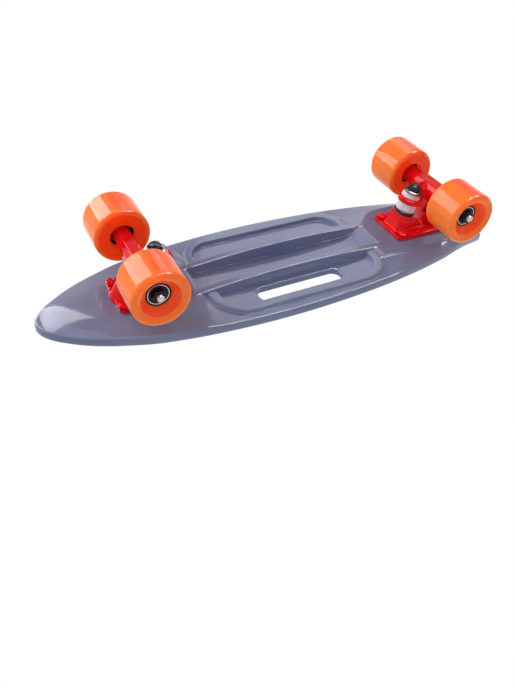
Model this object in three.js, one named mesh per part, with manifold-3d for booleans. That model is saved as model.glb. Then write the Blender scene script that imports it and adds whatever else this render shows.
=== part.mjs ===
// Cruiser skateboard: a moulded plastic deck with a handle slot, two sprung trucks and four wheels.
// Millimetres, +Z up, standing on its wheels, with +X towards the nose. The origin lies on the ground,
// under the middle of the deck's length.
import * as THREE from "three";
import { mergeVertices } from "three/addons/utils/BufferGeometryUtils.js";
import Module from "manifold-3d";

const wasm = await Module();
wasm.setup();

// Clearance between touching pieces, how far a cutter runs past what it cuts, and how deep a
// joined piece reaches into the other
const fitGap = 0.3;
const overrun = 6;
const buriedDepth = 2;

// Deck
const deckLength = 546;
const deckWidth = 161.4;
const edgeThickness = 11.5;
const lipRound = 2;
const topRound = 4;
const dishDepth = 3;
const dishRun = 26;
const kickRise = 15.5;
const kickLength = 66;
const kickPower = 1.3;
const rocker = 1.4;

// Truck platforms, which stand out below the deck's lip: where they end, measured from the axles
const noseOverhang = 104.5;
const tailOverhang = 83.5;
const platformDrop = 5.5;
const platformRamp = 9;
const frontPlatformReach = 67.5;
const frontPlatformOuterReach = 38.5;
const frontPlatformFade = 40;
const frontPlatformHalf = 31;
const rearPlatformReach = 85.5;
const rearPlatformOuterReach = 27.5;
const rearPlatformHalf = 44;
const tailPlatformDrop = 3;

// Raised rim plate, its two pockets, the two ribs between them and the channel between the ribs: drops
// below the lip or sinks above it, and how far each one runs past the platforms' inner ends or stops short
const rimDrop = 4.2;
const rimFrontOverlap = 3;
const rimRearOverlap = 8;
const rimMargin = 11.1;
const rimCorner = 38;
const rimDraft = 3;
const rimWidth = 9.8;
const pocketFrontMargin = 9;
const pocketRearMargin = 11;
const pocketCorner = 24;
const pocketInnerCorner = 4;
const pocketDraft = 3;
const pocketSink = 0.6;
const ribInner = 17.7;
const ribOuter = 27;
const ribDrop = 11.2;
const ribFrontOverlap = 7;
const ribRearOverlap = 9;
const ribPower = 2;
const ribDraftShare = 0.1;
const channelHalf = 16;
const channelFlareHalf = 19;
const channelFlareLength = 8;
const channelSink = 2.2;
const channelFrontOverlap = 5;
const channelRearOverlap = 8;

// Handle slot, with finger bumps on its outer edge
const slotMiddle = 2;
const slotLength = 102;
const slotRibGap = 8;
const slotWallGap = 2.8;
const slotCorner = 9;
const bumpHeight = 3;
const bumpHalf = 6;
const bumpPitch = 27.5;
const bumpCount = 3;
const bumpShares = [-1, -0.7, -0.35, 0, 0.35, 0.7, 1];
const cornerShare = 0.45;

// Trucks: each one's own frame has x towards the middle of the deck and z = 0 on the platform
const axleDrop = 46;
const plateThickness = 4;
const plateHalfWidth = 27;
const plateInner = 51;
const plateOuter = -26;
const plateCorner = 5;
const boltInner = 42.5;
const boltOuter = -21;
const spareHolePitch = 9.5;
const boltHalfPitch = 20.65;
const boltRadius = 2.4;
const boltHeadRadius = 4.7;
const boltHeadDepth = 2.8;
const boltHeadSink = 0.6;
const boltDrive = 1.6;
const boltDriveDepth = 1.4;
const boltEnd = 1.2;
const boltNutFlats = 9.5;
const boltNutThickness = 5;

// Kingpin and what is stacked on it, from the boss's seat towards the ground
const kingpinTilt = THREE.MathUtils.degToRad(16);
const seatX = 29.6;
const seatDrop = 19.6;
const seatInnerReach = 10.6;
const seatOuterReach = 17;
const seatEndHalf = 9.2;
const seatHalf = 12.6;
const bossShoulder = 2;
const bossFootInner = 46.6;
const bossFootShoulder = 38;
const bossFootOuter = 6;
const bossFootEndHalf = 12;
const bossFootHalf = 15.5;
const kingpinRadius = 4;
const kingpinHeadFlats = 13;
const kingpinHeadThickness = 5;
const kingpinSeatWall = 9;
const kingpinEnd = 1.4;
const headPocketRadius = 8.4;
const baseWasherRadius = 12.6;
const baseWasherThickness = 3;
const lowerBushingRadius = 11.7;
const lowerBushingHeight = 9.7;
const bushingRound = 1.2;
const ringThickness = 5.8;
const ringRadius = 13.8;
const ringHoleRadius = 5.8;
const upperBushingRadius = 10.8;
const upperBushingHeight = 6.6;
const topWasherRadius = 10.9;
const topWasherThickness = 1.8;
const kingpinNutFlats = 13;
const kingpinNutThickness = 6.6;

// Pivot: a round nose on the hanger in a cup in the baseplate
const pivotX = -12.5;
const pivotDrop = 10.5;
const pivotTilt = THREE.MathUtils.degToRad(30);
const pivotNoseRadius = 4.8;
const pivotRootRadius = 7;
const pivotLength = 21;
const pivotBossRadius = 10.8;
const pivotBossMouth = 7;
const cupWall = 1.4;
const cupFloor = 1.8;
const cupMouthFlare = 1.1;
const gussetHalf = 4;
const gussetDrop = 9;

// Hanger and axle
const wheelRadius = 29.5;
const axleRadius = 4;
const axleTip = 1.9;
const hangerEndGap = 1.5;
const tipChamfer = 0.8;
const hangerEndRadius = 8.8;
const hangerRootRadius = 9.6;
const blockHalf = 17;
const blockChamfer = 3;
const webChamfer = 1.5;
const blockInner = 8.6;
const blockOuter = 9.2;
const blockCrest = 10.5;
const crestInner = 4.6;
const crestOuter = 6.2;
const webHalf = 8.4;
const webOuter = 8;
const webTopDrop = 26.5;
const webTopX = 4;
const bushingRoom = 2.9;

// Wheels and bearings
const wheelTrack = 111;
const wheelWidth = 45;
const wheelLip = 5.4;
const dishRadius = 19.4;
const hubRadius = 12.8;
const innerFaceRadius = 13.4;
const innerDishDepth = 7.5;
const bearingRadius = 11;
const bearingWidth = 7;
const bearingSpread = 24;
const bearingRaceRadius = 6.2;
const sleeveRadius = 5.9;
const coreLipRadius = 9.4;
const axleNutFlats = 12.7;
const axleNutThickness = 5.6;

// Facets round a full turn
const wheelFacets = 28;
const stackFacets = 24;
const smallFacets = 16;
const holeFacets = 12;
const cornerSteps = 5;
const noseSteps = 4;
const lipSteps = 2;
const ribSteps = 14;

// What follows from the sizes above
const halfLength = deckLength / 2;
const halfWidth = deckWidth / 2;
const kickStart = kickLength - halfLength;
const platformHeight = wheelRadius + axleDrop;
const lipHeight = platformHeight + platformDrop;
const frontAxleX = halfLength - noseOverhang;
const rearAxleX = tailOverhang - halfLength;
const frontPlatformStart = frontAxleX - frontPlatformReach;
const frontPlatformEnd = frontAxleX + frontPlatformOuterReach;
const rearPlatformStart = rearAxleX + rearPlatformReach;
const rearPlatformEnd = rearAxleX - rearPlatformOuterReach;
const rimFront = frontPlatformStart + rimFrontOverlap;
const rimRear = rearPlatformStart - rimRearOverlap;
const rimHalf = halfWidth - rimMargin;
const rimHeight = lipHeight - rimDrop;
const pocketFront = frontPlatformStart - pocketFrontMargin;
const pocketRear = rearPlatformStart + pocketRearMargin;
const pocketInner = (ribInner + ribOuter) / 2;
const pocketOuter = rimHalf - rimWidth;
const pocketFloor = lipHeight + pocketSink;
const ribFront = frontPlatformStart + ribFrontOverlap;
const ribRear = rearPlatformStart - ribRearOverlap;
const ribCrest = lipHeight - ribDrop;
const channelFront = frontPlatformStart + channelFrontOverlap;
const channelRear = rearPlatformStart - channelRearOverlap;
const channelFloor = lipHeight + channelSink;
const slotInner = ribOuter + slotRibGap;
const slotOuter = pocketOuter - slotWallGap;
const treadRadius = wheelRadius / Math.cos(Math.PI / wheelFacets);
const bearingOuterEnd = wheelTrack / 2 + bearingSpread / 2;
const hangerHalf = wheelTrack / 2 - bearingSpread / 2 - hangerEndGap;
const axleLength = 2 * (bearingOuterEnd + fitGap + axleNutThickness + axleTip);
const ringStart = baseWasherThickness + lowerBushingHeight + 3 * fitGap;
const ringMiddle = ringStart + ringThickness / 2;
const upperBushingStart = ringStart + ringThickness + fitGap;
const topWasherStart = upperBushingStart + upperBushingHeight + fitGap;
const kingpinNutStart = topWasherStart + topWasherThickness + fitGap;
const kingpinTip = kingpinNutStart + kingpinNutThickness + kingpinEnd;
const kingpinAxis = new THREE.Vector3(-Math.sin(kingpinTilt), 0, -Math.cos(kingpinTilt));
const seatAlong = new THREE.Vector3(Math.cos(kingpinTilt), 0, -Math.sin(kingpinTilt));
const seat = new THREE.Vector3(seatX, 0, -seatDrop);
const pivotAxis = new THREE.Vector3(Math.sin(pivotTilt), 0, -Math.cos(pivotTilt));
const pivotPoint = new THREE.Vector3(pivotX, 0, -pivotDrop);

// Half-width of the deck from tail to nose: shares of the half length and of the half width
const outlineShare = [
  [-1, 0.238], [-0.9967, 0.287], [-0.989, 0.326], [-0.977, 0.352], [-0.934, 0.412], [-0.873, 0.493],
  [-0.8165, 0.566], [-0.763, 0.635], [-0.718, 0.683], [-0.676, 0.723], [-0.597, 0.783], [-0.523, 0.833],
  [-0.386, 0.904], [-0.258, 0.951], [-0.14, 0.98], [-0.027, 0.996], [0.08, 1], [0.182, 0.993],
  [0.28, 0.974], [0.373, 0.947], [0.463, 0.911], [0.5505, 0.862], [0.634, 0.802], [0.714, 0.713],
  [0.792, 0.611], [0.867, 0.481], [0.938, 0.314], [0.9725, 0.203], [0.989, 0.124], [0.997, 0.06],
  [1, 0.025],
];
const outline = new THREE.SplineCurve(
  outlineShare.map(([along, across]) => new THREE.Vector2(along * halfLength, across * halfWidth)),
).getPoints(outlineShare.length * cornerSteps);

// Materials by finish: colour, roughness, metalness
const finish = {
  deck: [0x78789a, 0.3, 0],
  wheel: [0xff6422, 0.3, 0],
  red: [0xd81824, 0.25, 0.4],
  rubber: [0xe2dfe4, 0.5, 0],
  cup: [0x222226, 0.5, 0],
  steel: [0xb8b8bc, 0.3, 1],
  dark: [0x1c1c20, 0.35, 0.8],
  shield: [0x2a2a2e, 0.4, 0.6],
};

// A point of the truck's frame, given as a distance along an axis from a start
function along(start, axis, distance) {
  return start.clone().addScaledVector(axis, distance);
}

// The value at x of a polyline of points, by straight lines
function valueAt(points, x) {
  const next = points.findIndex((point) => point.x >= x);
  if (next <= 0) return points.at(next).y;
  const [a, b] = [points[next - 1], points[next]];
  return a.y + ((b.y - a.y) * (x - a.x)) / (b.x - a.x);
}

// A share from 0 to 1 as x runs from start to end
function ramp(x, start, end) {
  return THREE.MathUtils.clamp((x - start) / (end - start), 0, 1);
}

// Evenly spaced values, without the last one
function span(start, end, count) {
  return Array.from({ length: count }, (_, i) => start + ((end - start) * i) / count);
}

// A closed geometry as a solid that faces out
function solid(geometry) {
  const bare = new THREE.BufferGeometry();
  bare.setAttribute("position", geometry.getAttribute("position"));
  if (geometry.index) bare.setIndex(geometry.index);
  const merged = mergeVertices(bare, 1e-4);
  const faces = new Uint32Array(merged.index.array).filter((_, i, all) => {
    const first = i - (i % 3);
    const [a, b, c] = [all[first], all[first + 1], all[first + 2]];
    return a !== b && b !== c && c !== a;
  });
  const build = (triVerts) =>
    new wasm.Manifold(
      new wasm.Mesh({ numProp: 3, vertProperties: merged.attributes.position.array, triVerts }),
    );
  const made = build(faces);
  if (made.volume() > 0) return made;
  return build(faces.map((_, i, all) => all[i - (i % 3) + (2 - (i % 3))]));
}

// A solid as a named mesh in its finish
function mesh(name, made, [color, roughness, metalness]) {
  const { vertProperties, triVerts } = made.getMesh();
  const indexed = new THREE.BufferGeometry();
  indexed.setAttribute("position", new THREE.BufferAttribute(vertProperties, 3));
  indexed.setIndex(new THREE.BufferAttribute(triVerts, 1));
  const geometry = indexed.toNonIndexed();
  geometry.computeVertexNormals();
  const piece = new THREE.Mesh(
    geometry,
    new THREE.MeshStandardMaterial({ color, roughness, metalness }),
  );
  piece.name = name;
  return piece;
}

// A solid through rings of equally many points, with flat ends triangulated in two of the axes
function loft(rings, axes) {
  const count = rings[0].length;
  const faces = [];
  rings.slice(1).forEach((_, r) => {
    for (let i = 0; i < count; i++) {
      const [a, b] = [r * count + i, r * count + ((i + 1) % count)];
      faces.push(a, b, b + count, a, b + count, a + count);
    }
  });
  [0, rings.length - 1].forEach((r) => {
    const flat = rings[r].map((p) => new THREE.Vector2(p[axes[0]], p[axes[1]]));
    const base = r * count;
    const turned = flat.map((p) => p.clone());
    THREE.ShapeUtils.triangulateShape(turned, []).forEach(([a, b, c]) => {
      const clockwise = THREE.ShapeUtils.isClockWise([flat[a], flat[b], flat[c]]);
      const ringClockwise = THREE.ShapeUtils.isClockWise(flat);
      const same = clockwise === ringClockwise;
      const tri = same === (r > 0) ? [a, b, c] : [c, b, a];
      faces.push(...tri.map((i) => i + base));
    });
  });
  const geometry = new THREE.BufferGeometry();
  geometry.setAttribute("position", new THREE.Float32BufferAttribute(rings.flat(2), 3));
  geometry.setIndex(faces);
  return solid(geometry.toNonIndexed());
}

// A solid between outlines in the x-y plane, each given at its own height
function stack(levels) {
  return loft(levels.map(([points, z]) => points.map(([x, y]) => [x, y, z])), [0, 1]);
}

// A solid of revolution about Y from points [radius, y]
function turned(profile, facets) {
  const points = profile.map(([radius, y]) => new THREE.Vector2(radius, y));
  return solid(new THREE.LatheGeometry(points, facets, Math.PI / facets));
}

// A tube about Y: a closed profile between two radii, with chamfers on its outer edges
function tube(inner, outer, start, end, chamfer, facets) {
  const profile = [
    [inner, start], [outer - chamfer, start], [outer, start + chamfer],
    [outer, end - chamfer], [outer - chamfer, end], [inner, end], [inner, start],
  ];
  return turned(chamfer > 0 ? profile : profile.filter((_, i) => i !== 2 && i !== 4), facets);
}

// A rod about Y with chamfered ends
function rod(radius, start, end, chamfer, facets) {
  return turned(
    [[0, start], [radius - chamfer, start], [radius, start + chamfer],
      [radius, end - chamfer], [radius - chamfer, end], [0, end]],
    facets,
  );
}

// A hexagonal prism about Y, by its size across the flats
function hexagon(flats, start, end) {
  const radius = flats / Math.sqrt(3);
  const geometry = new THREE.CylinderGeometry(radius, radius, end - start, 6);
  return solid(geometry.translate(0, (start + end) / 2, 0));
}

// A hexagonal nut about Y, clear of a bolt of a given radius
function hexagonWithBore(flats, boreRadius, start, end) {
  const reach = tube(boreRadius + fitGap, flats, start - overrun, end + overrun, 0, smallFacets);
  return hexagon(flats, start, end).intersect(reach);
}

// A solid made about Y, turned so that Y runs along the axis from a point
function aim(made, point, axis) {
  const turn = new THREE.Quaternion().setFromUnitVectors(new THREE.Vector3(0, 1, 0), axis);
  const matrix = new THREE.Matrix4().compose(point, turn, new THREE.Vector3(1, 1, 1));
  return made.transform(matrix.elements);
}

// The profile of half a ball, from its pole to its widest ring
function ballEnd(radius) {
  return Array.from({ length: noseSteps + 1 }, (_, i) => {
    const angle = (i / noseSteps) * (Math.PI / 2);
    return [radius * Math.sin(angle), -radius * Math.cos(angle)];
  });
}

// A vertical cutter of a given radius at [x, y]
function drill(radius, x, y, low, high) {
  const cutter = turned([[0, low], [radius, low], [radius, high], [0, high]], holeFacets);
  return aim(cutter, new THREE.Vector3(x, y, 0), new THREE.Vector3(0, 0, 1));
}

// A prism of points [x, z], as deep as twice the half-depth across the middle plane
function sidePrism(points, half, chamfer) {
  const shape = new THREE.Shape(points.map(([x, z]) => new THREE.Vector2(x, z)));
  const geometry = new THREE.ExtrudeGeometry(shape, {
    depth: 2 * (half - chamfer),
    bevelEnabled: chamfer > 0,
    bevelThickness: chamfer,
    bevelSize: chamfer,
    bevelOffset: -chamfer,
    bevelSegments: 1,
  });
  geometry.translate(0, 0, chamfer - half);
  return solid(geometry.rotateX(Math.PI / 2));
}

// The points of an arc round a centre, from one quarter turn to the next
function quarter(x, y, radius, turns) {
  return Array.from({ length: cornerSteps + 1 }, (_, i) => {
    const angle = (turns + i / cornerSteps) * (Math.PI / 2);
    return [x + radius * Math.cos(angle), y + radius * Math.sin(angle)];
  });
}

// A rectangle whose corners have one radius on its high side and another on its low side, each
// limited by the sides that it joins
function roundedBox(x0, x1, y0, y1, highRadius, lowRadius) {
  const side = Math.min(x1 - x0, y1 - y0);
  const low = Math.min(lowRadius, side * cornerShare);
  const high = Math.min(highRadius, (x1 - x0) * cornerShare, 2 * (y1 - y0 - low) * cornerShare);
  return [
    ...quarter(x1 - high, y1 - high, high, 0),
    ...quarter(x0 + high, y1 - high, high, 1),
    ...quarter(x0 + low, y0 + low, low, 2),
    ...quarter(x1 - low, y0 + low, low, 3),
  ];
}

// Points [x, y] mirrored to the other side of the deck
function mirrored(points) {
  return points.map(([x, y]) => [x, -y]).reverse();
}

// Height of the deck's lip at x: almost level, and swept up at the tail
function lipAt(x) {
  const bow = rocker * (x / halfLength) ** 2;
  return lipHeight + bow + kickRise * ramp(x, kickStart, -halfLength) ** kickPower;
}

// Depth of the top's dish at x, fading out at both ends
function dishAt(x) {
  return dishDepth * Math.min(1, (halfLength - Math.abs(x)) / dishRun);
}

// Height and half-width of the underside's platform at x, on the lip's own level where there is none
function platformAt(x) {
  const lip = lipAt(x);
  if (x > 0) {
    const depth =
      ramp(x, frontPlatformStart, frontPlatformStart + platformRamp) *
      (1 - ramp(x, frontPlatformEnd, frontPlatformEnd + frontPlatformFade));
    return [lip + (platformHeight - lip) * depth, frontPlatformHalf];
  }
  const fade = ramp(x, rearPlatformEnd, -halfLength);
  const target = platformHeight + (lip - tailPlatformDrop - platformHeight) * fade;
  const depth = ramp(x, rearPlatformStart, rearPlatformStart - platformRamp);
  return [lip + (target - lip) * depth, rearPlatformHalf];
}

// The deck's cross-section at x, as a closed ring of points
function deckSection(x) {
  const half = Math.max(valueAt(outline, x), lipRound);
  const lip = lipAt(x);
  const top = lip + edgeThickness;
  const [platform, platformHalf] = platformAt(x);
  const round = Math.min(topRound, half / 2);
  const low = Math.min(lipRound, half / 2);
  const flat = Math.min(platformHalf, (half - low) * 0.9);
  const dish = Math.min(dishRun, half * 0.7);
  const side = [
    [flat, platform], [half - low, lip], [half, lip + low], [half, top - round],
    [half - round * 0.3, top - round * 0.3], [half - round, top], [half - dish, top - dishAt(x)],
  ];
  const other = side.map(([y, z]) => [-y, z]).reverse();
  return [...side, ...other].map(([y, z]) => [x, y, z]);
}

// The deck's body before its relief, lofted from the tail to the nose
function deckShell() {
  const edges = [
    rearPlatformEnd, kickStart, rearPlatformStart, rearPlatformStart - platformRamp,
    frontPlatformStart, frontPlatformStart + platformRamp, frontPlatformEnd,
    frontPlatformEnd + frontPlatformFade,
  ];
  const stations = [...outlineShare.map(([share]) => share * halfLength), ...edges];
  stations.sort((a, b) => a - b);
  return loft(stations.map(deckSection), [1, 2]);
}

// The raised plate whose border is the rim
function rimPlate() {
  const level = (out) => {
    const half = rimHalf + out;
    const corner = rimCorner + out;
    return roundedBox(rimRear - out, rimFront + out, -half, half, corner, corner);
  };
  const foot = level(rimDraft);
  return stack([[level(0), rimHeight], [foot, lipHeight], [foot, lipHeight + buriedDepth]]);
}

// The cutter of one pocket, on one side of the middle
function pocketCutter(side) {
  const level = (inset) => {
    const points = roundedBox(
      pocketRear + inset, pocketFront - inset, pocketInner, pocketOuter - inset,
      pocketCorner - inset, pocketInnerCorner,
    );
    return side > 0 ? points : mirrored(points);
  };
  return stack([
    [level(0), rimHeight - overrun],
    [level(0), rimHeight],
    [level(pocketDraft), pocketFloor],
  ]);
}

// Height of a rib's crest at x
function ribAt(x) {
  const reach = Math.abs((2 * x - ribFront - ribRear) / (ribFront - ribRear));
  return ribCrest + (platformHeight - ribCrest) * reach ** ribPower;
}

// One long rib, tallest in the middle
function rib(side) {
  const buried = pocketFloor + buriedDepth;
  const stations = [...span(ribRear, ribFront, ribSteps), ribFront];
  const rings = stations.map((x) => {
    const draft = (buried - ribAt(x)) * ribDraftShare;
    return [
      [x, side * (ribInner - draft), buried], [x, side * ribInner, ribAt(x)],
      [x, side * ribOuter, ribAt(x)], [x, side * (ribOuter + draft), buried],
    ];
  });
  return loft(rings, [1, 2]);
}

// The channel between the ribs, flared where it meets the platforms
function channelCutter() {
  const corner = channelFlareLength;
  const points = [
    [channelFront, -channelFlareHalf], [channelFront, channelFlareHalf],
    [channelFront - corner, channelHalf], [channelRear + corner, channelHalf],
    [channelRear, channelFlareHalf], [channelRear, -channelFlareHalf],
    [channelRear + corner, -channelHalf], [channelFront - corner, -channelHalf],
  ];
  return stack([[points, ribCrest - overrun], [points, channelFloor]]);
}

// The handle slot, less the finger bumps along its outer edge
function slotCutter() {
  const [x0, x1] = [slotMiddle - slotLength / 2, slotMiddle + slotLength / 2];
  const [low, high] = [ribCrest - overrun, lipHeight + edgeThickness + overrun];
  const points = roundedBox(x0, x1, -slotOuter, -slotInner, slotCorner, slotCorner);
  let cutter = stack([[points, low], [points, high]]);
  span(-(bumpCount - 1) / 2, (bumpCount + 1) / 2, bumpCount).forEach((n) => {
    const middle = slotMiddle + n * bumpPitch;
    const crest = bumpShares.map((share) => [
      middle + share * bumpHalf,
      -slotOuter + bumpHeight * Math.cos((share * Math.PI) / 2) ** 2,
    ]);
    const foot = [-1, 1].map((side) => [middle - side * bumpHalf, -slotOuter - overrun]);
    const bump = [...crest, foot[0], foot[1]];
    cutter = cutter.subtract(stack([[bump, low - overrun], [bump, high + overrun]]));
  });
  return cutter;
}

// The places of a truck's four mounting bolts, in its own frame
const boltPlaces = [boltInner, boltOuter].flatMap((x) => [[x, boltHalfPitch], [x, -boltHalfPitch]]);

// A place in a truck's frame as a place on the deck
function onDeck(axleX, [x, y]) {
  const inward = axleX > 0 ? -1 : 1;
  return [axleX + inward * x, inward * y];
}

// Height of the deck's flat top at x
function topAt(x) {
  return lipAt(x) + edgeThickness - dishAt(x);
}

// The holes of all mounting bolts, with their countersinks in the top face
function boltCutters() {
  return [frontAxleX, rearAxleX].flatMap((axleX) =>
    boltPlaces.map((place) => {
      const [x, y] = onDeck(axleX, place);
      const radius = boltRadius + fitGap;
      const head = boltHeadRadius + fitGap;
      const low = platformHeight - overrun;
      const sink = topAt(x) - boltHeadSink;
      const cutter = turned(
        [[0, low], [radius, low], [radius, sink - boltHeadDepth - fitGap], [head, sink - fitGap],
          [head, sink + overrun], [0, sink + overrun]],
        holeFacets,
      );
      return aim(cutter, new THREE.Vector3(x, y, 0), new THREE.Vector3(0, 0, 1));
    }),
  );
}

// The whole deck
function deck() {
  let body = deckShell().add(rimPlate());
  [-1, 1].forEach((side) => {
    body = body.subtract(pocketCutter(side));
  });
  [-1, 1].forEach((side) => {
    body = body.add(rib(side));
  });
  body = body.subtract(channelCutter()).subtract(slotCutter());
  boltCutters().forEach((cutter) => {
    body = body.subtract(cutter);
  });
  return mesh("deck", body, finish.deck);
}

// A countersunk mounting bolt with a hexagonal socket, from the deck's top to past its nut
function mountingBolt(name, top) {
  const end = -fitGap - plateThickness - fitGap - boltNutThickness - boltEnd;
  let body = turned(
    [[0, end], [boltRadius, end], [boltRadius, top - boltHeadDepth], [boltHeadRadius, top], [0, top]],
    smallFacets,
  );
  body = body.subtract(hexagon(2 * boltDrive, top - boltDriveDepth, top + overrun));
  return mesh(name, aim(body, new THREE.Vector3(), new THREE.Vector3(0, 0, 1)), finish.dark);
}

// The nut of a mounting bolt, under the baseplate
function mountingNut(name) {
  const start = -fitGap - plateThickness - fitGap;
  const body = hexagonWithBore(boltNutFlats, boltRadius, start - boltNutThickness, start);
  return mesh(name, aim(body, new THREE.Vector3(), new THREE.Vector3(0, 0, 1)), finish.red);
}

// The boss that carries the kingpin: a drafted block with a tilted seat
function kingpinBoss() {
  const foot = [
    [bossFootInner, bossFootEndHalf], [bossFootShoulder, bossFootHalf], [bossFootOuter, bossFootHalf],
  ];
  const crown = [[seatInnerReach, seatEndHalf], [bossShoulder, seatHalf], [-seatOuterReach, seatHalf]];
  const both = (points) => [...points, ...points.map(([x, y]) => [x, -y]).reverse()];
  const low = both(foot).map(([x, y]) => [x, y, -fitGap - plateThickness / 2]);
  const high = both(crown).map(([reach, y]) => {
    const point = along(seat, seatAlong, reach);
    return [point.x, y, point.z];
  });
  return loft([low, high], [0, 1]);
}

// The baseplate: a plate with the kingpin's boss, the pivot's boss and a gusset between them
function baseplate(name) {
  const [half, corner] = [plateHalfWidth, plateCorner];
  const points = roundedBox(plateOuter, plateInner, -half, half, corner, corner);
  const plate = stack([[points, -fitGap], [points, -fitGap - plateThickness]]);
  const pivotBoss = aim(
    rod(pivotBossRadius, -pivotDrop - overrun, pivotBossMouth, 1, stackFacets), pivotPoint, pivotAxis,
  );
  const gusset = solid(
    new THREE.BoxGeometry(bossFootOuter + overrun - pivotX, 2 * gussetHalf, gussetDrop - fitGap).translate(
      (bossFootOuter + overrun + pivotX) / 2, 0, -(gussetDrop + fitGap) / 2,
    ),
  );
  const above = solid(
    new THREE.BoxGeometry(2 * plateInner, 2 * plateInner, plateInner)
      .translate(0, 0, plateInner / 2 - fitGap),
  );
  let body = plate.add(kingpinBoss()).add(pivotBoss).add(gusset).subtract(above);
  const bore = rod(kingpinRadius + fitGap, -seatDrop - overrun, overrun, 0, smallFacets);
  const headPocket = rod(headPocketRadius, -2 * seatDrop, -kingpinSeatWall, 0, stackFacets);
  const cupReach = pivotNoseRadius + fitGap + cupWall + fitGap;
  const cupDepth = pivotNoseRadius + fitGap + cupFloor + fitGap;
  const cupSocket = rod(cupReach, -cupDepth, pivotBossMouth + overrun, 0, stackFacets);
  body = body
    .subtract(aim(bore, seat, kingpinAxis))
    .subtract(aim(headPocket, seat, kingpinAxis))
    .subtract(aim(cupSocket, pivotPoint, pivotAxis));
  const spareX = boltOuter + spareHolePitch;
  const spare = [[spareX, boltHalfPitch], [spareX, -boltHalfPitch]];
  [...boltPlaces, ...spare].forEach(([x, y]) => {
    body = body.subtract(drill(boltRadius + fitGap, x, y, -plateThickness - overrun, overrun));
  });
  return mesh(name, body, finish.red);
}

// The cup that the hanger's nose turns in: a round floor and a flared mouth
function pivotCup(name) {
  const hollow = pivotNoseRadius + fitGap;
  const outer = hollow + cupWall;
  const floor = ballEnd(hollow);
  const mouth = hollow + cupMouthFlare;
  const profile = [
    [0, -hollow - cupFloor], [outer, -hollow - cupFloor], [outer, pivotBossMouth], [mouth, pivotBossMouth],
    ...floor.reverse(),
  ];
  return mesh(name, aim(turned(profile, stackFacets), pivotPoint, pivotAxis), finish.cup);
}

// The kingpin: a bolt from inside the baseplate, with its head in the boss
function kingpin(name) {
  const headTop = -kingpinSeatWall - fitGap;
  const head = hexagon(kingpinHeadFlats, headTop - kingpinHeadThickness, headTop);
  const shankStart = headTop - kingpinHeadThickness / 2;
  const shank = rod(kingpinRadius, shankStart, kingpinTip, tipChamfer, smallFacets);
  return mesh(name, head.add(shank), finish.dark);
}

// The pieces that are stacked on the kingpin, in the order that they are put on
function kingpinStack(prefix) {
  const ring = (radius, start, height, round) =>
    tube(kingpinRadius + fitGap, radius, start, start + height, round, stackFacets);
  const lowerStart = baseWasherThickness + 2 * fitGap;
  const baseWasher = ring(baseWasherRadius, fitGap, baseWasherThickness, 0);
  const lowerBushing = ring(lowerBushingRadius, lowerStart, lowerBushingHeight, bushingRound);
  const upperBushing = ring(upperBushingRadius, upperBushingStart, upperBushingHeight, bushingRound);
  const topWasher = ring(topWasherRadius, topWasherStart, topWasherThickness, 0);
  const nutEnd = kingpinNutStart + kingpinNutThickness;
  const nut = hexagonWithBore(kingpinNutFlats, kingpinRadius, kingpinNutStart, nutEnd);
  return [
    kingpin(prefix + "kingpin"),
    mesh(prefix + "base_washer", baseWasher, finish.dark),
    mesh(prefix + "lower_bushing", lowerBushing, finish.rubber),
    mesh(prefix + "upper_bushing", upperBushing, finish.rubber),
    mesh(prefix + "top_washer", topWasher, finish.dark),
    mesh(prefix + "kingpin_nut", nut, finish.dark),
  ];
}

// The hanger: the axle's housing, the ring between the bushings and the nose of the pivot
function hanger(name) {
  const housing = turned(
    [[0, -hangerHalf], [hangerEndRadius, -hangerHalf], [hangerRootRadius, -blockHalf],
      [hangerRootRadius, blockHalf], [hangerEndRadius, hangerHalf], [0, hangerHalf]],
    stackFacets,
  ).translate([0, 0, -axleDrop]);
  const low = -axleDrop - blockCrest;
  const high = -axleDrop + hangerRootRadius;
  const block = sidePrism(
    [[-blockOuter, -axleDrop], [-crestOuter, low], [crestInner, low], [blockInner, -axleDrop],
      [blockInner, high], [-blockOuter, high]],
    blockHalf, blockChamfer,
  );
  const ringPoint = along(seat, kingpinAxis, ringMiddle);
  const ringEdge = along(ringPoint, seatAlong, -ringRadius);
  const web = sidePrism(
    [[-webOuter, -axleDrop], [-webOuter, -webTopDrop], [webTopX, -webTopDrop],
      [ringEdge.x + ringThickness, ringEdge.z + ringThickness], [ringPoint.x, ringPoint.z],
      [ringEdge.x + ringThickness, ringEdge.z - ringThickness], [blockInner, -axleDrop]],
    webHalf, webChamfer,
  );
  const onKingpin = (made) => aim(made, seat, kingpinAxis);
  const ringEnd = ringStart + ringThickness;
  const ring = tube(kingpinRadius, ringRadius, ringStart, ringEnd, bushingRound, stackFacets);
  const noseProfile = [
    ...ballEnd(pivotNoseRadius), [pivotNoseRadius, pivotBossMouth],
    [pivotRootRadius, pivotLength], [0, pivotLength],
  ];
  const nose = aim(turned(noseProfile, smallFacets), pivotPoint, pivotAxis);
  const room = upperBushingRadius + bushingRoom;
  const clearBelow = rod(room, -seatDrop, ringStart, 0, stackFacets);
  const clearAbove = rod(room, ringEnd, kingpinTip + overrun, 0, stackFacets);
  const hole = rod(ringHoleRadius, -seatDrop, kingpinTip + overrun, 0, stackFacets);
  const bore = rod(axleRadius + fitGap, -axleLength, axleLength, 0, smallFacets);
  const body = housing
    .add(block)
    .add(web)
    .subtract(onKingpin(clearBelow))
    .subtract(onKingpin(clearAbove))
    .add(onKingpin(ring))
    .add(nose)
    .subtract(onKingpin(hole))
    .subtract(bore.translate([0, 0, -axleDrop]));
  return mesh(name, body, finish.red);
}

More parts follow.
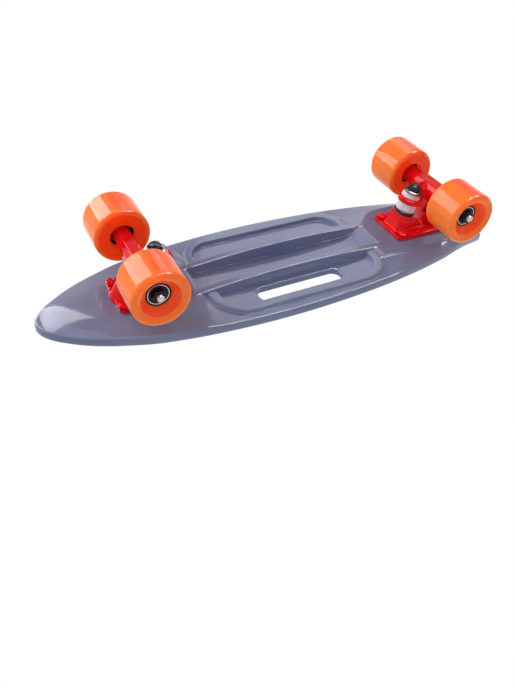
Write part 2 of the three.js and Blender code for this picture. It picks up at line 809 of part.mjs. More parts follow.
// The profile of a wheel about Y, from its inner face to its outer face
function wheelProfile() {
  const half = wheelWidth / 2;
  const bearingEdge = bearingSpread / 2;
  const bearingFoot = bearingEdge - bearingWidth;
  const seatRadius = bearingRadius + fitGap;
  const tread = [-1, 1].flatMap((side) => {
    const arc = span(0, 1, lipSteps).concat(1).map((share) => {
      const angle = (share * Math.PI) / 2;
      return [
        treadRadius - wheelLip * (1 - Math.sin(angle)),
        side * (half - wheelLip * (1 - Math.cos(angle))),
      ];
    });
    return side < 0 ? arc : arc.reverse();
  });
  return [
    [innerFaceRadius, -half], ...tread, [dishRadius, half], [hubRadius, bearingEdge],
    [seatRadius, bearingEdge], [seatRadius, bearingFoot], [coreLipRadius, bearingFoot],
    [coreLipRadius, -bearingFoot], [seatRadius, -bearingFoot], [seatRadius, -bearingEdge],
    [hubRadius, -bearingEdge], [innerFaceRadius, -half + innerDishDepth], [innerFaceRadius, -half],
  ];
}

// One wheel with its bearings, the sleeve they turn on and the axle's nut; side is +1 or -1 along Y
function wheelSet(prefix, side) {
  const middle = wheelTrack / 2;
  const inner = middle - bearingSpread / 2;
  const outer = bearingOuterEnd;
  const bearing = (start) =>
    tube(bearingRaceRadius, bearingRadius, start, start + bearingWidth, 0, smallFacets);
  const tyre = turned(wheelProfile(), wheelFacets).translate([0, middle, 0]);
  const sleeve = tube(axleRadius + fitGap, sleeveRadius, hangerHalf + fitGap, outer, 0, smallFacets);
  const nutStart = outer + fitGap;
  const nut = hexagonWithBore(axleNutFlats, axleRadius, nutStart, nutStart + axleNutThickness);
  const pieces = [
    mesh(prefix + "wheel", tyre, finish.wheel),
    mesh(prefix + "inner_bearing", bearing(inner), finish.shield),
    mesh(prefix + "outer_bearing", bearing(outer - bearingWidth), finish.shield),
    mesh(prefix + "bearing_sleeve", sleeve, finish.steel),
    mesh(prefix + "axle_nut", nut, finish.dark),
  ];
  const set = new THREE.Group();
  set.add(...pieces);
  set.position.z = -axleDrop;
  if (side < 0) set.rotation.z = Math.PI;
  return set;
}

// One truck with its wheels and the bolts that hold it
function truck(name, axleX) {
  const group = new THREE.Group();
  group.position.set(axleX, 0, platformHeight);
  if (axleX > 0) group.rotation.z = Math.PI;
  const prefix = name + "_";
  group.add(baseplate(prefix + "baseplate"), pivotCup(prefix + "pivot_cup"), hanger(prefix + "hanger"));
  const stackGroup = new THREE.Group();
  stackGroup.position.copy(seat);
  stackGroup.quaternion.setFromUnitVectors(new THREE.Vector3(0, 1, 0), kingpinAxis);
  stackGroup.add(...kingpinStack(prefix));
  group.add(stackGroup);
  const axleRod = rod(axleRadius, -axleLength / 2, axleLength / 2, tipChamfer, smallFacets);
  const axle = mesh(prefix + "axle", axleRod, finish.steel);
  axle.position.z = -axleDrop;
  group.add(axle);
  const inward = axleX > 0 ? -1 : 1;
  [["left", inward], ["right", -inward]].forEach(([hand, side]) => {
    group.add(wheelSet(prefix + hand + "_", side));
  });
  boltPlaces.forEach(([x, y], i) => {
    const top = topAt(axleX + inward * x) - boltHeadSink - platformHeight;
    const bolt = mountingBolt(prefix + "bolt_" + (i + 1), top);
    const lock = mountingNut(prefix + "bolt_nut_" + (i + 1));
    [bolt, lock].forEach((piece) => {
      piece.position.set(x, y, 0);
    });
    group.add(bolt, lock);
  });
  return group;
}

const board = new THREE.Group();
board.add(deck(), truck("front", frontAxleX), truck("rear", rearAxleX));

export default board;
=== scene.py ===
import math

import bmesh
import bpy
import numpy as np
from mathutils import Matrix, Vector


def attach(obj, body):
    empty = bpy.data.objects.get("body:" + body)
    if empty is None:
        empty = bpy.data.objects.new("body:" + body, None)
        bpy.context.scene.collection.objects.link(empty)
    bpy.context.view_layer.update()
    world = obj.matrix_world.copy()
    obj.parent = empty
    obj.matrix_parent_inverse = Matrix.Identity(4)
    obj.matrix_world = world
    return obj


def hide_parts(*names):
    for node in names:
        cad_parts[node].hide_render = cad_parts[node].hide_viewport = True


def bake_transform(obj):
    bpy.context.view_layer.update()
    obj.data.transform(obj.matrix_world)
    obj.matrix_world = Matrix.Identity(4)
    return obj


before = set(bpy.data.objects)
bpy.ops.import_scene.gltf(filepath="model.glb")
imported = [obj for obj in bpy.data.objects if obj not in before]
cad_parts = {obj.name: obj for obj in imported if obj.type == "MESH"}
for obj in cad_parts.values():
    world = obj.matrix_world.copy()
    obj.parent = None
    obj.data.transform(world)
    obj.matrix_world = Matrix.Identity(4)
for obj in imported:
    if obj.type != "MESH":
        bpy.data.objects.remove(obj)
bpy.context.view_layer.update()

# Sizes are in millimetres, as in the part's source, and turn to metres where a mesh is made.
MM = 0.001
WELD = 2e-6  # metres
SHARP = 34  # degrees

# The deck's sizes. Heights are from the ground; a box is its least and greatest x, then y.
HALF_LENGTH = 273.0
HALF_WIDTH = 80.7
EDGE = 11.5
LIP_ROUND = 2.0
TOP_ROUND = 4.0
PLATFORM = 75.5
LIP, LIP_BOW = 81.0, 1.4
KICK_START, KICK_RISE = -207.0, 15.5
DISH_DEPTH, DISH_RISE = 3.0, 26.0
# Inner end, length of the ramp to it, start and length of the fade, half-width
FRONT_PLATFORM = (101.0, 9.0, 207.0, 58.0, 31.0)
# Inner end, length of the ramp to it, start of the fade, half-width
REAR_PLATFORM = (-84.0, 20.0, -217.0, 44.0)
# The front ramp's extra length at the sides, and the distances from the middle between which it grows
RAMP_SPREAD = (16.0, 28.0, 60.0)
NOSE_ARCH = (185.0, 225.0)
CREASE_STEP, CREASE_WIDTH = 0.18, 1.2
RIM = (-106.0, 102.0, -69.6, 69.6)
RIM_CORNER = 38.0
RIM_LEVEL = 76.8
POCKET = (-93.0, 92.0, 22.35, 59.8)
POCKET_CORNER, POCKET_INNER_CORNER = 24.0, 4.0
POCKET_FLOOR = 81.6
DRAFT = 1.3
RIB = (-113.0, 108.0, 17.7, 27.0)
RIB_CREST = 69.8
# Its two ends, its half-width and its floor's height
CHANNEL = (-112.0, 106.0, 17.0, 83.2)
CHANNEL_FLARE, CHANNEL_SLOPE = 2.0, 19.0
SLOT = (-49.0, 53.0, -57.0, -35.0)
SLOT_CORNER = 9.0
SLOT_ROUND_BELOW, SLOT_ROUND_ABOVE = 1.6, 2.0
BUMPS = (-25.5, 2.0, 29.5)
BUMP_REACH, BUMP_HEIGHT = 6.0, 3.0

# The trucks' sizes. Points are in a truck's own frame.
FRONT_AXLE, REAR_AXLE = 168.5, -189.5
AXLE_HEIGHT = 29.5
AXLE_DROP = PLATFORM - AXLE_HEIGHT
AXLE_HALF = 75.9
TRACK = 111.0
SEAT = np.array([29.6, 0.0, -19.6])
KINGPIN_TILT = math.radians(16)
KINGPIN = np.array([-math.sin(KINGPIN_TILT), 0.0, -math.cos(KINGPIN_TILT)])
KINGPIN_FLATS = 13.0
PIVOT = np.array([-12.5, 0.0, -10.5])
PIVOT_TILT = math.radians(30)
PIVOT_AXIS = np.array([math.sin(PIVOT_TILT), 0.0, -math.cos(PIVOT_TILT)])
HANGER_HALF = TRACK / 2 - 13.5
BOLTS = ((42.5, 20.65), (42.5, -20.65), (-21.0, 20.65), (-21.0, -20.65))
BOLT_SINK = 0.6
BEARING_WIDTH = 7.0


# Meshes

def grid_faces(rows, columns, closed_rows=False):
    """The corner numbers of a grid's quads: a point, the next one in its row, and the two beyond them.

    Where rows are closed, the last point of each meets its first.
    """
    r, c = np.meshgrid(np.arange(rows - 1), np.arange(columns - (not closed_rows)), indexing="ij")
    c2 = (c + 1) % columns
    corners = [r * columns + c, r * columns + c2, (r + 1) * columns + c2, (r + 1) * columns + c]
    return np.stack(corners, -1).reshape(-1, 4)


def placed(name, data):
    """A new object in the scene, at the origin."""
    made = bpy.data.objects.new(name, data)
    bpy.context.scene.collection.objects.link(made)
    return made


def welded(mesh, outwards=False):
    """The mesh with points that meet joined and, where asked, its faces turned outwards."""
    work = bmesh.new()
    work.from_mesh(mesh)
    bmesh.ops.remove_doubles(work, verts=work.verts, dist=WELD)
    if outwards:
        bmesh.ops.recalc_face_normals(work, faces=work.faces)
    work.to_mesh(mesh)
    work.free()
    return mesh


def mesh_of(name, points, faces, kinds=0):
    """A closed mesh from points in millimetres and quads, welded, with its faces turned outwards.

    A quad whose last two corners are one point is a triangle. A face's kind is the number of its finish.
    """
    mesh = bpy.data.meshes.new(name)
    thin = faces[:, 2] == faces[:, 3]
    corners = faces[~thin].tolist() + faces[thin, :3].tolist()
    mesh.from_pydata((points * MM).tolist(), [], corners)
    kinds = np.broadcast_to(kinds, len(faces))
    kinds = np.concatenate([kinds[~thin], kinds[thin]]).astype(np.int32)
    mesh.polygons.foreach_set("material_index", kinds)
    return welded(mesh, outwards=True)


def joined(parts):
    """Several closed parts of one kind as one part."""
    points, faces, start = [], [], 0
    for p, f, _ in parts:
        points.append(p)
        faces.append(f + start)
        start += len(p)
    return np.vstack(points), np.vstack(faces), 0


def show(name, mesh, finishes, body, node, sharp=SHARP, squeezed=None):
    """A mesh as a piece that rides on a body, stands for a CAD node and is smooth below an angle.

    Its shading leans to the larger faces, so that flats stay flat up to their rounds. A squeezed
    piece rides on no body and keeps its place in the world; its second body and its two points go unused.
    """
    piece = placed(name, mesh)
    for finish in finishes:
        mesh.materials.append(finish)
    mesh.polygons.foreach_set("use_smooth", np.ones(len(mesh.polygons), bool))
    mesh.set_sharp_from_angle(angle=math.radians(sharp))
    lean = piece.modifiers.new("lean", "WEIGHTED_NORMAL")
    lean.keep_sharp = True
    if squeezed:
        second, start, end = squeezed
        tuple(start * MM)
        tuple(end * MM)
        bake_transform(piece)
    else:
        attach(piece, body)
    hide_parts(node)


def baked(mesh, modifiers):
    """The mesh that is left when modifiers, each a kind and its settings, have run on it."""
    work = placed("work", mesh)
    for kind, settings in modifiers:
        modifier = work.modifiers.new(kind.lower(), kind)
        for key, value in settings.items():
            setattr(modifier, key, value)
    bpy.context.view_layer.update()
    done = work.evaluated_get(bpy.context.evaluated_depsgraph_get())
    made = bpy.data.meshes.new_from_object(done)
    bpy.data.objects.remove(work)
    return made


def boolean(mesh, operation, parts):
    """A mesh joined with, or cut by, closed (points, faces, kinds) parts, one after another."""
    for points, faces, _ in parts:
        other = placed("tool", mesh_of("tool", points, faces))
        settings = {"operation": operation, "object": other, "solver": "EXACT"}
        mesh = baked(mesh, [("BOOLEAN", settings)])
        bpy.data.objects.remove(other)
    return mesh


def rounded(points, radius, steps=4):
    """A profile with its inner corners eased.

    Each corner gives way to a parabola between the points one radius before and after it, or
    nearer where a side is short.
    """
    share_at_most = 0.46
    p = np.asarray(points, float)
    at = p[1:-1]
    reach = np.broadcast_to(np.asarray(radius, float), len(at))[:, None]
    sides = [end - at for end in (p[:-2], p[2:])]
    a, b = (
        at + side * np.minimum(reach / np.linalg.norm(side, axis=1, keepdims=True), share_at_most)
        for side in sides
    )
    t = np.linspace(0, 1, steps + 1)[None, :, None]
    arc = (1 - t) ** 2 * a[:, None] + 2 * t * (1 - t) * at[:, None] + t * t * b[:, None]
    return np.vstack([p[:1], arc.reshape(-1, 2), p[-1:]])


def around(axis):
    """An axis as a unit vector, and two more that are square to it and to each other."""
    axis = np.asarray(axis, float) / np.linalg.norm(axis)
    first = np.cross(axis, [0.0, 1.0, 0.0] if abs(axis[1]) < 0.9 else [1.0, 0.0, 0.0])
    first /= np.linalg.norm(first)
    return axis, first, np.cross(axis, first)


def turned(profile, start, axis, count=64, kinds=None, radius_at=None):
    """A profile of [radius, distance] turned about an axis.

    point = start + distance * axis + radius * (cos angle * first + sin angle * second). Where
    radius_at is given, it changes the radius by row, distance and angle.
    """
    profile = np.asarray(profile, float)
    axis, first, second = around(axis)
    angle = np.linspace(0, 2 * np.pi, count, endpoint=False)
    radius = np.broadcast_to(profile[:, :1], (len(profile), count))
    distance = np.broadcast_to(profile[:, 1:], (len(profile), count))
    if radius_at is not None:
        radius, distance = radius_at(radius, distance, angle[None, :])
    ring = np.cos(angle)[:, None] * first + np.sin(angle)[:, None] * second
    points = np.asarray(start) + distance[..., None] * axis + radius[..., None] * ring[None]
    faces = grid_faces(len(profile), count, closed_rows=True)
    kinds = 0 if kinds is None else np.repeat(np.asarray(kinds), count)
    return points.reshape(-1, 3), faces, kinds


def closed(profile):
    """A profile that ends where it began."""
    return np.vstack([profile, profile[:1]])


def flats_radius(flats, angle):
    """Distance from a hexagon's middle to its side: half the flats over the cosine from the side's middle."""
    return flats / 2 / np.cos((angle + np.pi / 6) % (np.pi / 3) - np.pi / 6)


def hex_nut(start, axis, flats, bore, low, high, collar, count=96):
    """A hexagonal nut with turned chamfers on both faces and a round locking collar on the far one.

    The side follows flats_radius. The chamfers are cones of 30 degrees from a circle just inside
    the flats, so that they bite most into the corners.
    """
    circle = flats / 2 * 0.97
    neck = circle * 0.9
    edge = 0.5
    top = high - collar
    inside = bore + 0.45
    rows = [(bore, low + edge), (inside, low), (circle, low), (0, low), (0, top), (circle, top)]
    rows += [(neck, top + 0.1), (neck, high - edge), (neck - edge, high), (inside + edge, high)]
    rows += [(bore, high - edge), (bore, low + edge)]
    side = np.array([r == 0 for r, _ in rows])[:, None]
    sign = np.array([1 if d <= low else -1 for _, d in rows])[:, None]

    def radius_at(radius, distance, angle):
        hexagon = np.broadcast_to(flats_radius(flats, angle), radius.shape)
        bite = (hexagon - circle) * math.tan(math.radians(30))
        return np.where(side, hexagon, radius), np.where(side, distance + sign * bite, distance)

    return turned(rows, start, axis, count, radius_at=radius_at)


def thread_cut(distance, angle, pitch, depth, low, high):
    """How deep a screw thread cuts between two distances: a triangle wave that climbs as it turns."""
    wave = np.abs(((distance / pitch - angle / (2 * np.pi)) % 1.0) * 2 - 1)
    return np.where((distance > low) & (distance < high), depth * wave, 0)


# Finishes

class Wire:
    """One output of a node. It takes part in sums like a number: each operator adds a Math node."""

    def __init__(self, tree, node, output=0):
        self.tree = tree
        self.node = node
        self.output = output

    def beside(self, output):
        """Another output of the same node."""
        return Wire(self.tree, self.node, output)

    def maths(self, operation, *values):
        return self.tree.node("ShaderNodeMath", {"operation": operation}, dict(enumerate(values)))

    def __add__(self, other):
        return self.maths("ADD", self, other)

    def __sub__(self, other):
        return self.maths("SUBTRACT", self, other)

    def __mul__(self, other):
        return self.maths("MULTIPLY", self, other)

    __radd__, __rmul__ = __add__, __mul__

    def sine(self):
        return self.maths("SINE", self)

    def size(self):
        return self.maths("ABSOLUTE", self)

    def most(self, other):
        return self.maths("MAXIMUM", self, other)

    def ramp(self, low, high):
        """0 below low, 1 above high and smooth between them."""
        settings = {"interpolation_type": "SMOOTHSTEP"}
        return self.tree.node("ShaderNodeMapRange", settings, {0: self, 1: low, 2: high})


class Tree:
    """The nodes of a material or a world. Each one comes from node()."""

    def __init__(self, owner):
        owner.use_nodes = True
        self.tree = owner.node_tree
        self.tree.nodes.clear()

    def feed(self, node, socket, value):
        """Gives a node's input a wire or a value of its own."""
        if isinstance(value, Wire):
            self.tree.links.new(value.node.outputs[value.output], node.inputs[socket])
        else:
            node.inputs[socket].default_value = value

    def node(self, kind, settings=None, inputs=None, output=0):
        """A node of a kind with its settings, then its inputs' values or wires; gives one output."""
        made = self.tree.nodes.new(kind)
        for key, value in (settings or {}).items():
            setattr(made, key, value)
        for socket, value in (inputs or {}).items():
            self.feed(made, socket, value)
        return Wire(self, made, output)


class Finish(Tree):
    """A material in the making: a Principled shader with its constants, and what feeds it."""

    def __init__(self, name, color, roughness, metallic=0.0, **constants):
        self.material = bpy.data.materials.new(name)
        super().__init__(self.material)
        self.surface = self.node("ShaderNodeBsdfPrincipled")
        self.result = self.node("ShaderNodeOutputMaterial", inputs={0: self.surface}).node
        constants |= {"Base Color": (*color, 1.0), "Roughness": roughness, "Metallic": metallic}
        for key, value in constants.items():
            self.set(key.replace("_", " "), value)
        self.place = self.node("ShaderNodeTexCoord", output="Object")

    def set(self, socket, value):
        self.feed(self.surface.node, socket, value)

    def uneven(self, cloud, low, high, roughness, grain=None):
        """A colour that drifts between two, an uneven gloss and a grain; gives the finished material."""
        self.set("Base Color", self.mix(cloud, low, high))
        self.set("Roughness", roughness)
        if grain:
            self.set("Normal", self.bump(*grain))
        return self.material

    def noise(self, scale, detail=3.0, roughness=0.5, stretch=None):
        """Noise from 0 to 1 on the piece's own coordinates, in metres."""
        place = self.place
        if stretch:
            place = self.node("ShaderNodeMapping", inputs={0: place, 3: stretch})
        inputs = {"Vector": place, "Scale": scale, "Detail": detail, "Roughness": roughness}
        return self.node("ShaderNodeTexNoise", inputs=inputs)

    def plan(self):
        """The first two coordinates of the piece's own space, in metres."""
        split = self.node("ShaderNodeSeparateXYZ", inputs={0: self.place})
        return split, split.beside(1)

    def facing(self):
        """The upward part of the surface's direction."""
        normal = self.node("ShaderNodeNewGeometry", output="Normal")
        return self.node("ShaderNodeSeparateXYZ", inputs={0: normal}, output=2)

    def mix(self, factor, a, b):
        """A colour between two, by a factor from 0 to 1: the node's inputs 6 and 7 and its output 2."""
        a, b = (c if isinstance(c, Wire) else (*c, 1.0) for c in (a, b))
        return self.node("ShaderNodeMix", {"data_type": "RGBA"}, {0: factor, 6: a, 7: b}, 2)

    def bump(self, height, strength, distance, under=None):
        """A Bump node's normal from a height from 0 to 1."""
        inputs = {"Strength": strength, "Distance": distance, "Height": height}
        if under is not None:
            inputs["Normal"] = under
        return self.node("ShaderNodeBump", inputs=inputs)


def linear(red, green, blue):
    """A colour given as the eye sees it, 0 to 255, in linear light."""
    c = np.array([red, green, blue]) / 255
    return tuple(np.where(c <= 0.04045, c / 12.92, ((c + 0.055) / 1.055) ** 2.4))


def moulded_plastic():
    """Glossy moulded plastic: faint flow marbling, a soft orange-peel skin and, on top, a grip of diamonds.

    The grip is the product of two sines across each other, 3 mm from one zero to the next.
    """
    f = Finish("deck_plastic", linear(127, 136, 169), 0.12, Specular_IOR_Level=0.27)
    flow = f.noise(9.0, 4.0, 0.55, (1.0, 3.0, 3.0)).ramp(0.32, 0.68)
    speck = f.noise(420.0, 2.0).ramp(0.62, 0.78)
    shade = f.mix(flow, linear(122, 131, 164), linear(132, 141, 174))
    f.set("Base Color", f.mix(speck * 0.10, shade, linear(150, 150, 172)))
    x, y = f.plan()
    up = f.facing().ramp(0.80, 0.95)
    grip_rate = 1050.0
    wave = ((x + y) * grip_rate).sine() * ((x - y) * grip_rate).sine()
    grip = wave.size().ramp(0.15, 0.7)
    scuff = f.noise(60.0, 5.0, 0.65, (1.0, 6.0, 1.0)).ramp(0.55, 0.8)
    f.set("Roughness", 0.07 + 0.04 * f.noise(35.0, 4.0) + 0.05 * scuff + up * 0.30)
    peel = f.bump(f.noise(240.0, 2.0), 0.025, 0.0006)
    f.set("Normal", f.bump(grip * up, 0.9, 0.0005, peel))
    return f.material


def cast_urethane(name, low, high, painted_glow):
    """Cast urethane: light soaks into it, a faint painted emission lifts it where it lies in shade, and its
    skin is glossy.
    """
    f = Finish(
        name, low, 0.06, Specular_IOR_Level=0.17, Emission_Strength=painted_glow,
        Subsurface_Weight=1.0, Subsurface_Radius=(1.0, 0.30, 0.10), Subsurface_Scale=0.02,
    )
    cloud = f.noise(28.0, 3.0).ramp(0.3, 0.7)
    # Painted light: the emission's orange, which brightens the wheel where it lies in shade.
    f.set("Emission Color", f.mix(cloud, linear(255, 84, 30), linear(255, 92, 36)))
    return f.uneven(cloud, low, high, 0.04 + 0.04 * f.noise(90.0, 3.0), (f.noise(220.0, 2.0), 0.015, 0.0006))


def painted_casting():
    """Red lacquer over a cast surface: the casting's grain shows softly through a clear gloss."""
    f = Finish("truck_red", linear(244, 16, 28), 0.08, Specular_IOR_Level=0.14)
    return f.uneven(
        f.noise(70.0, 4.0).ramp(0.3, 0.7), linear(240, 12, 24), linear(248, 20, 32),
        0.04 + 0.04 * f.noise(300.0, 3.0), (f.noise(260.0, 3.0, 0.5), 0.015, 0.0005),
    )


def pale_bushing():
    """Off-white urethane with a satin skin and faint mould bloom."""
    f = Finish("bushing_white", linear(238, 236, 242), 0.38, IOR=1.48)
    return f.uneven(
        f.noise(160.0, 4.0).ramp(0.35, 0.75), linear(233, 231, 237), linear(243, 241, 246),
        0.32 + 0.14 * f.noise(240.0, 3.0), (f.noise(520.0, 3.0), 0.08, 0.0004),
    )


def dark_plastic(name, unevenness):
    """Near-black moulded plastic or rubber with a fine grain."""
    f = Finish(name, linear(24, 23, 26), 0.42, Specular_IOR_Level=0.2)
    grain = f.noise(900.0, 3.0)
    return f.uneven(
        grain, linear(15, 14, 17), linear(27, 25, 29), 0.34 + unevenness * grain, (grain, 0.12, 0.0003)
    )


def blackened_steel(name, dark, rubbed_to):
    """Blackened steel: an oily dark skin, rubbed brighter in small patches."""
    f = Finish(name, dark, 0.2, 0.85)
    rubbed = f.noise(260.0, 5.0, 0.6).ramp(0.55, 0.75)
    return f.uneven(
        rubbed, dark, rubbed_to, 0.12 + 0.14 * f.noise(420.0, 3.0), (f.noise(1100.0, 2.0), 0.08, 0.0003)
    )


def bright_steel():
    """Zinc-plated steel with fine turning marks."""
    f = Finish("bright_steel", linear(186, 184, 190), 0.22, 1.0)
    cloud = f.noise(340.0, 4.0)
    marks = f.noise(1500.0, 2.0, 0.5, (1.0, 6.0, 1.0))
    return f.uneven(
        cloud, linear(172, 170, 177), linear(204, 202, 208), 0.14 + 0.16 * cloud, (marks, 0.08, 0.0002)
    )


def race_steel():
    """The ground steel of a bearing's race."""
    f = Finish("bearing_steel", linear(196, 196, 202), 0.12, 1.0)
    cloud = f.noise(500.0, 3.0)
    return f.uneven(cloud, linear(180, 180, 188), linear(212, 212, 218), 0.08 + 0.10 * cloud)


PLASTIC = moulded_plastic()
# Both wheel finishes carry a painted emission that lifts the urethane where it lies in shade.
URETHANE = cast_urethane("wheel_orange", linear(255, 130, 50), linear(255, 142, 60), 0.17)
# A darker, redder copy of the wheel urethane: painted shade on the walls of the dish cone and the inner
# hollow.
URETHANE_PAINTED_SHADE = cast_urethane("wheel_orange_painted_shade", linear(255, 76, 18), linear(255, 86, 24), 0.20)
RED = painted_casting()
BUSHING = pale_bushing()
CUP = dark_plastic("cup_plastic", 0.16)
SHIELD = dark_plastic("bearing_shield", 0.22)
# Near-black on the wheels' hubs: round the bearing seats and at the start of the inner hollow.
DARK_HUB = dark_plastic("hub_dark", 0.1)
DARK = blackened_steel("dark_steel", linear(46, 41, 48), linear(96, 88, 98))
WASHER = blackened_steel("washer_steel", linear(112, 106, 116), linear(168, 162, 172))
BRIGHT = bright_steel()
RACE = race_steel()


# Deck

# The outline from tail to nose, as shares of the deck's half-length and half-width
OUTLINE_SHARES = np.array([
    [-1, 0.238], [-0.9967, 0.287], [-0.989, 0.326], [-0.977, 0.352], [-0.934, 0.412],
    [-0.873, 0.493], [-0.8165, 0.566], [-0.763, 0.635], [-0.718, 0.683], [-0.676, 0.723],
    [-0.597, 0.783], [-0.523, 0.833], [-0.386, 0.904], [-0.258, 0.951], [-0.14, 0.98],
    [-0.027, 0.996], [0.08, 1], [0.182, 0.993], [0.28, 0.974], [0.373, 0.947], [0.463, 0.911],
    [0.5505, 0.862], [0.634, 0.802], [0.714, 0.713], [0.792, 0.611], [0.867, 0.481],
    [0.938, 0.314], [0.9725, 0.203], [0.989, 0.124], [0.997, 0.06], [1, 0.025],
])


def through(points, steps):
    """A curve through points: on each stretch a cubic that leaves and arrives along the neighbours' chord."""
    p = np.vstack([points[:1], points, points[-1:]])
    before, a, b, after = p[:-3], p[1:-2], p[2:-1], p[3:]
    leave, arrive = (b - before) / 2, (after - a) / 2
    t = np.linspace(0, 1, steps, endpoint=False)[None, :, None]
    a, b, leave, arrive = (v[:, None] for v in (a, b, leave, arrive))
    curve = (
        (2 * a - 2 * b + leave + arrive) * t**3
        + (3 * b - 3 * a - 2 * leave - arrive) * t**2
        + leave * t
        + a
    )
    return np.vstack([curve.reshape(-1, points.shape[1]), points[-1:]])


OUTLINE = through(OUTLINE_SHARES * [HALF_LENGTH, HALF_WIDTH], steps=24)


def ramp(x, start, end):
    """A share from 0 to 1 as x runs from start to end."""
    return np.clip((x - start) / (end - start), 0, 1)


def eased(t, ease):
    """A ramp from 0 to 1 over t from 0 to 1 with eased ends: the difference of two hyperbolas."""
    def bend(s):
        return (s + np.sqrt(s * s + ease * ease)) / 2

    return bend(t) - bend(t - 1)


def smooth_least(a, b, ease):
    """The lesser of two heights with the crease between them eased."""
    return (a + b - np.sqrt((a - b) ** 2 + ease * ease)) / 2


def box_distance(x, y, box, corner):
    """Distance in plan to a box with round corners, negative inside it."""
    x0, x1, y0, y1 = box
    qx = np.abs(x - (x0 + x1) / 2) - (x1 - x0) / 2 + corner
    qy = np.abs(y - (y0 + y1) / 2) - (y1 - y0) / 2 + corner
    outside = np.hypot(np.maximum(qx, 0), np.maximum(qy, 0))
    return outside + np.minimum(np.maximum(qx, qy), 0) - corner


def wall_rise(out, radius, slope):
    """Height gained at a plan distance past a crest's edge: a quarter round, then a steep straight wall."""
    reach = radius * math.sin(math.atan(slope))
    bent = np.clip(out, 0, reach)
    return radius - np.sqrt(radius**2 - bent**2) + slope * np.maximum(out - reach, 0)


def lip_at(x):
    """Height of the lip: bowed a little and swept up over the tail's last 66 mm."""
    kick = ramp(x, KICK_START, -HALF_LENGTH) ** 1.3
    return LIP + LIP_BOW * (x / HALF_LENGTH) ** 2 + KICK_RISE * kick


def half_at(x):
    """Half-width of the deck at x."""
    return np.interp(x, OUTLINE[:, 0], OUTLINE[:, 1])


def bump_at(x):
    """Height of the slot's finger bumps: a squared cosine on each side of each bump's middle."""
    reach = np.abs(x[..., None] - np.array(BUMPS)) / BUMP_REACH
    return BUMP_HEIGHT * np.where(reach < 1, np.cos(reach * np.pi / 2) ** 2, 0).sum(-1)


def slot_distance(x, y):
    """Distance in plan to the handle slot, whose outer edge carries the bumps."""
    y0, y1 = SLOT[2:]
    lifted = y - bump_at(x) * np.clip((y1 - y) / (y1 - y0), 0, 1.3)
    return box_distance(x, lifted, SLOT, SLOT_CORNER)


def slot_round(x, y, radius):
    """How far the face curves in at the slot: part of a quarter round that ends at the slot's wall."""
    near = np.clip(radius - slot_distance(x, y), 0, 0.96 * radius)
    return radius - np.sqrt(radius**2 - near**2)


def front_sink(x, side, lip, edge):
    """How far the underside sinks below the lip at the front platform.

    A ramp leads to it, longer towards the sides. Its level floor narrows and its depth fades
    towards the nose. Beside the floor the underside rises to the edge in a straight slope, and at
    the nose that slope gives way to an arch, a parabola across the whole width.
    """
    start, run, end, fade, flat = FRONT_PLATFORM
    extra, low, high = RAMP_SPREAD
    run = run + extra * ramp(side, low, high)
    faded = ramp(x, end, end + fade)
    depth = eased(ramp(x, start, start + run), ease=0.1) * (1 - faded**2)
    flat = np.minimum((flat - 3.0) * (1 - 0.3 * faded), edge * 0.8)
    slope = 1 - eased((side - flat) / (edge - flat), ease=0.3)
    arch = np.clip(1 - (side / edge) ** 2, 0, 1)
    slope += (arch - slope) * ramp(x, *NOSE_ARCH)
    return np.where(x > 0, (lip - PLATFORM) * depth * slope, 0)


def rear_sink(x, side, lip, edge):
    """How far the underside sinks below the lip at the rear platform.

    The floor rises with the kick. A crease runs along each of its sides: a short step takes its
    share of the rise to the edge, and a straight slope takes the rest.
    """
    start, run, end, flat = REAR_PLATFORM
    target = PLATFORM + (lip - 3.0 - PLATFORM) * ramp(x, end, -HALF_LENGTH)
    depth = eased((start - x) / run, ease=0.12)
    flat = np.minimum(flat, edge * 0.9)
    slope = (
        1 - CREASE_STEP * eased((side - flat) / CREASE_WIDTH, ease=0.25)
        - (1 - CREASE_STEP) * eased((side - flat) / (edge - flat), ease=0.03)
    )
    return np.where(x < 0, (lip - target) * depth * slope, 0)


def underside(x, y):
    """Height of the deck's underside.

    The lip's level sinks to the truck platforms, the rim plate stands out below it, the pockets go
    back up, the two ribs hang down in the middle, and the channel runs between them. The channel
    ends in a short wall at the front and in a longer slope at the tail end.
    """
    side = np.abs(y)
    lip = lip_at(x)
    edge = np.maximum(half_at(x) - LIP_ROUND, 1.0)
    z = lip
    for sink in (front_sink, rear_sink):
        z = z - np.clip(sink(x, side, lip, edge), 0, None)

    rim = box_distance(x, y, RIM, RIM_CORNER)
    z = z + (np.minimum(z, RIM_LEVEL) - z) * (1 - eased(rim / DRAFT, ease=0.14))

    middle = (POCKET[2] + POCKET[3]) / 2
    corner = np.where(side > middle, POCKET_CORNER, POCKET_INNER_CORNER)
    pocket = box_distance(x, side, POCKET, corner)
    z = z + (POCKET_FLOOR - z) * eased(-pocket / DRAFT, ease=0.14)

    reach = np.abs(2 * x - RIB[0] - RIB[1]) / (RIB[1] - RIB[0])
    crest = RIB_CREST + (PLATFORM - RIB_CREST) * reach**2
    rounding = 1.9
    out = np.maximum(RIB[2] + rounding - side, side - RIB[3] + rounding)
    z = smooth_least(z, crest + wall_rise(out, radius=2.0, slope=9.0), ease=0.3)

    start, end, half, floor = CHANNEL
    flare = half + CHANNEL_FLARE * np.maximum(ramp(x, end - 8, end), ramp(x, start + 8, start))
    inside = (
        eased(flare - side + 0.5, ease=0.12)
        * eased((end - x) / 1.2, ease=0.2)
        * eased((x - start) / CHANNEL_SLOPE, ease=0.3)
    )
    z = z + (np.maximum(z, floor) - z) * inside
    return z + slot_round(x, y, SLOT_ROUND_BELOW)


